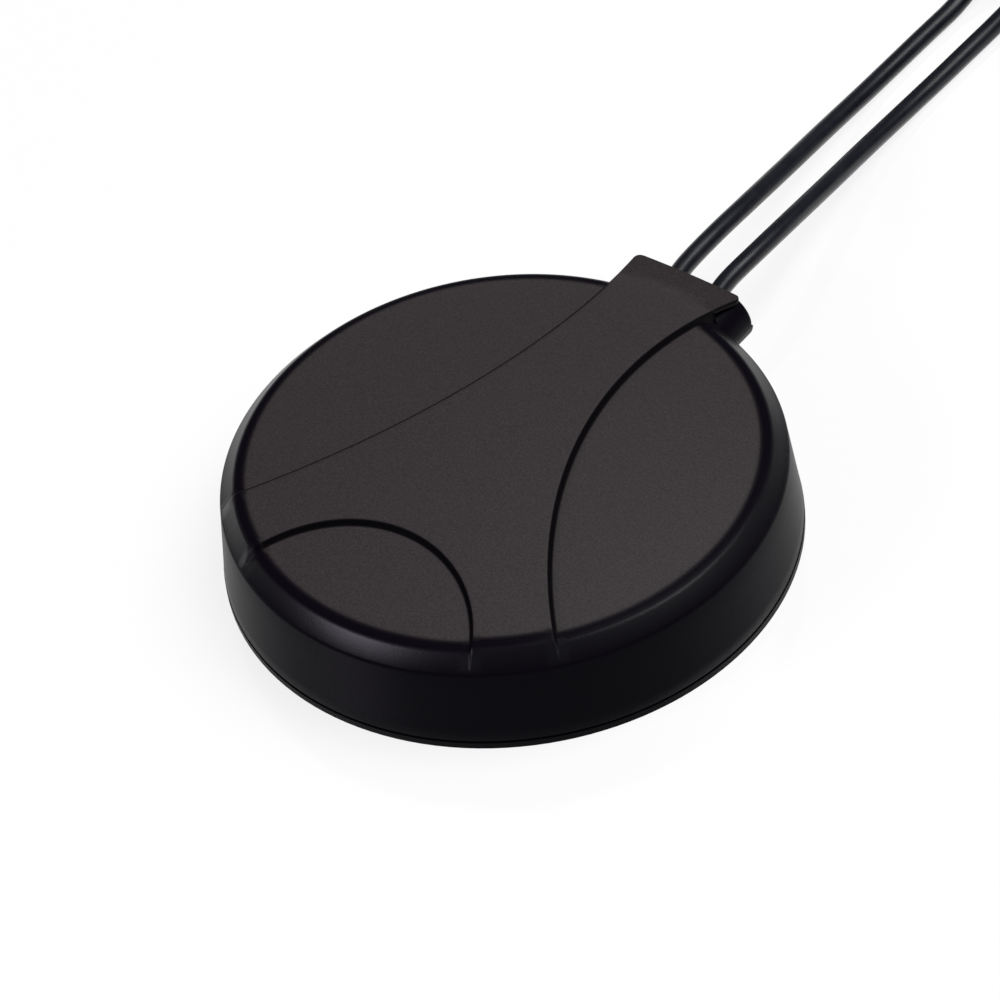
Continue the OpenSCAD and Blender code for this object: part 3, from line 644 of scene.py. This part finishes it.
def plain_finish(name, colour, roughness, grain_mm, depth_mm, metallic=0.0, specular=0.5, vary=0.12):
    """A finish with fine grain, slightly uneven colour and slightly uneven gloss."""
    material, tree, shader = new_material(name, colour, roughness, metallic, specular)
    slow = object_noise(tree, grain_mm * 12)
    low = [c * (1 - vary) for c in colour]
    high = [min(c * (1 + vary), 1) for c in colour]
    tree.links.new(ramp(tree, slow, low, high), shader.inputs["Base Color"])
    gloss = ramp(tree, slow, (roughness * 0.9,) * 3, (min(roughness * 1.1, 1),) * 3)
    tree.links.new(gloss, shader.inputs["Roughness"])
    add_bump(tree, shader, object_noise(tree, grain_mm), depth_mm)
    return material


# %% Finish of the cover
TOP_COLOUR = (0.0365, 0.031, 0.0315)
# The shoulder's and wall's dark colour: partly their smoother finish, partly painted shade on these
# steep sides.
WALL_FINISH_AND_SHADE_COLOUR = (0.0042, 0.0034, 0.0060)
# The last colour is painted shade in the steps' creases.
PAINTED_STEP_SHADE_COLOUR = (0.004, 0.0035, 0.0045)


def mask(tree, name):
    """One of the values per point that the mesh carries."""
    return add_node(tree, "ShaderNodeAttribute", attribute_name=name).outputs["Fac"]


def mixed(tree, factor, first, second):
    """Goes from the first colour or socket to the second."""
    made = add_node(tree, "ShaderNodeMix", data_type="RGBA")
    tree.links.new(factor, made.inputs["Factor"])
    for name, value in (("A", first), ("B", second)):
        socket = next(s for s in made.inputs if s.name == name and s.type == "RGBA")
        if isinstance(value, tuple):
            socket.default_value = (*value, 1)
        else:
            tree.links.new(value, socket)
    return next(s for s in made.outputs if s.type == "RGBA")


def cover_finish():
    """Grained grey on the top, and a smoother finish on shoulder and wall whose darker colour is partly
    painted shade; a dark line of painted shade runs along the steps.
    """
    material, tree, shader = new_material("housing_plastic", TOP_COLOUR, 0.5)
    shoulder, band, wall, line = (mask(tree, n) for n in ("shoulder", "band", "wall", "line"))
    grain = object_noise(tree, 0.3, 3.0)
    top = ramp(tree, grain, [c * 0.8 for c in TOP_COLOUR], [c * 1.2 for c in TOP_COLOUR])
    body = mixed(tree, shoulder, top, WALL_FINISH_AND_SHADE_COLOUR)
    # Painted shade: the line along the steps darkens the colour and takes away most of the shine.
    tree.links.new(mixed(tree, line, body, PAINTED_STEP_SHADE_COLOUR), shader.inputs["Base Color"])
    tree.links.new(mixed(tree, shoulder, (0.6,) * 3, (0.34,) * 3), shader.inputs["Roughness"])
    shine = mixed(tree, shoulder, (0.22,) * 3, (0.02,) * 3)
    shine = mixed(tree, wall, mixed(tree, band, shine, (0.28,) * 3), (0.026,) * 3)
    tree.links.new(mixed(tree, line, shine, (0.02,) * 3), shader.inputs["Specular IOR Level"])
    add_bump(tree, shader, object_noise(tree, 0.3), 0.02)
    return material


def dress(thing, material):
    """Gives a piece or a CAD node its material, on every slot."""
    slots = thing.data.materials
    slots.clear()
    slots.append(material)


housing = cover_finish()
dress(cover, housing)

# %% Finishes of the other parts
FINISHES = {
    "base": plain_finish("base_plastic", (0.0040, 0.0034, 0.0052), 0.38, 0.3, 0.02, specular=0.04),
    "seal_rubber": plain_finish("seal_rubber", (0.012, 0.012, 0.014), 0.6, 0.2, 0.02),
    "foam": plain_finish("closed_cell_foam", (0.02, 0.02, 0.022), 0.9, 0.35, 0.12),
    "screw_steel": plain_finish("zinc_plated_steel", (0.55, 0.55, 0.56), 0.32, 0.1, 0.0006, 1.0),
    "board": plain_finish("green_solder_mask", (0.01, 0.11, 0.035), 0.3, 0.4, 0.01),
    "tape": plain_finish("foam_tape", (0.7, 0.7, 0.66), 0.8, 0.2, 0.02),
    "ceramic": plain_finish("ground_ceramic", (0.68, 0.64, 0.55), 0.55, 0.12, 0.01),
    "silver": plain_finish("fired_silver", (0.8, 0.79, 0.76), 0.42, 0.15, 0.002, 1.0),
    "gold_plating": plain_finish("gold_plated_brass", (0.83, 0.62, 0.26), 0.24, 0.1, 0.0004, 1.0),
    "tin_plate": plain_finish("tin_plated_sheet", (0.62, 0.62, 0.62), 0.35, 0.15, 0.001, 1.0),
    "chip": plain_finish("chip_moulding", (0.025, 0.023, 0.022), 0.5, 0.1, 0.01),
    "carrier_plastic": plain_finish("carrier_plastic", (0.6, 0.6, 0.57), 0.5, 0.2, 0.01),
    "brass_sheet": plain_finish("bare_brass_sheet", (0.75, 0.55, 0.25), 0.33, 0.2, 0.001, 1.0),
    "cable_jacket": plain_finish("cable_jacket", (0.007, 0.008, 0.013), 0.34, 0.3, 0.004, specular=0.35),
    "tie_plastic": plain_finish("nylon_tie", (0.015, 0.015, 0.015), 0.45, 0.2, 0.01),
    "sleeve": plain_finish("shrink_sleeve", (0.013, 0.013, 0.014), 0.5, 0.3, 0.02),
    "spring_bronze": plain_finish("spring_bronze", (0.6, 0.42, 0.22), 0.3, 0.1, 0.0006, 1.0),
    "gasket_silicone": plain_finish("red_silicone", (0.45, 0.08, 0.04), 0.5, 0.15, 0.01),
    "white_insulator": plain_finish("white_fluoroplastic", (0.85, 0.85, 0.82), 0.4, 0.2, 0.006),
}
for row in frame["record"]["subparts"]:
    if row["material_slot"] in FINISHES:
        dress(frame["nodes"][row["node"]], FINISHES[row["material_slot"]])
for cable in cables.values():
    dress(cable, FINISHES["cable_jacket"])
note("finishes", made=len(FINISHES) + 1)

# %% [markdown]
# ## Table and light
# The photograph has a white, faintly glossy table and broad soft lamps. The table is
# shown white to the camera and keeps the object's shadow and reflection.

# %% Table
TABLE_GLOW = 0.815


def add_table():
    bpy.ops.object.select_all(action="DESELECT")
    bpy.ops.mesh.primitive_plane_add(size=6, location=(0, 0, 0))
    table = bpy.context.object
    table.name = "table"
    material, tree, shader = new_material("white_table", (0.25, 0.25, 0.25), 0.5, specular=0.0)
    gloss = add_node(tree, "ShaderNodeBsdfGlossy", Roughness=0.12)
    both = add_node(tree, "ShaderNodeMixShader")
    both.inputs[0].default_value = 0.3
    tree.links.new(shader.outputs[0], both.inputs[1])
    tree.links.new(gloss.outputs[0], both.inputs[2])
    ray = add_node(tree, "ShaderNodeLightPath")
    seen = ray.outputs["Is Camera Ray"]
    for name in ("Is Glossy Ray", "Is Transmission Ray"):
        either = add_node(tree, "ShaderNodeMath", operation="MAXIMUM")
        tree.links.new(seen, either.inputs[0])
        tree.links.new(ray.outputs[name], either.inputs[1])
        seen = either.outputs[0]
    glow = add_node(tree, "ShaderNodeMath", operation="MULTIPLY")
    glow.inputs[1].default_value = TABLE_GLOW
    tree.links.new(seen, glow.inputs[0])
    white = add_node(tree, "ShaderNodeEmission")
    tree.links.new(glow.outputs[0], white.inputs["Strength"])
    total = add_node(tree, "ShaderNodeAddShader")
    tree.links.new(both.outputs[0], total.inputs[0])
    tree.links.new(white.outputs[0], total.inputs[1])
    surface = next(n for n in tree.nodes if n.type == "OUTPUT_MATERIAL").inputs["Surface"]
    tree.links.new(total.outputs[0], surface)
    dress(table, material)
    note(table.name, glow=TABLE_GLOW)


add_table()


# %% [markdown]
# ## Lamps
# One broad lamp above gives the even grey of the top. A small weak one in front gives
# the bluish glint on the shoulder.

# %% Lamps and world


def add_lamp(name, place, size, power, colour=(1, 1, 1)):
    """A soft square lamp that faces the object."""
    data = bpy.data.lights.new(name, "AREA")
    data.shape = "RECTANGLE"
    data.size, data.size_y = size
    data.energy = power
    data.color = colour
    lamp = bpy.data.objects.new(name, data)
    bpy.context.scene.collection.objects.link(lamp)
    lamp.location = place
    lamp.rotation_euler = (-Vector(place)).to_track_quat("-Z", "Y").to_euler()
    return lamp


add_lamp("overhead_lamp", (0.5, 0.5, 1.4), (1.1, 1.1), 22)
add_lamp("front_lamp", (-0.45, -0.92, 0.62), (0.5, 0.25), 4.2, (0.92, 0.84, 1))
world = bpy.data.worlds.new("studio")
bpy.context.scene.world = world
world.use_nodes = True
world.node_tree.nodes["Background"].inputs["Color"].default_value = (1, 1, 1, 1)
world.node_tree.nodes["Background"].inputs["Strength"].default_value = 0.1
note("lamps", made=sum(o.type == "LIGHT" for o in bpy.data.objects))
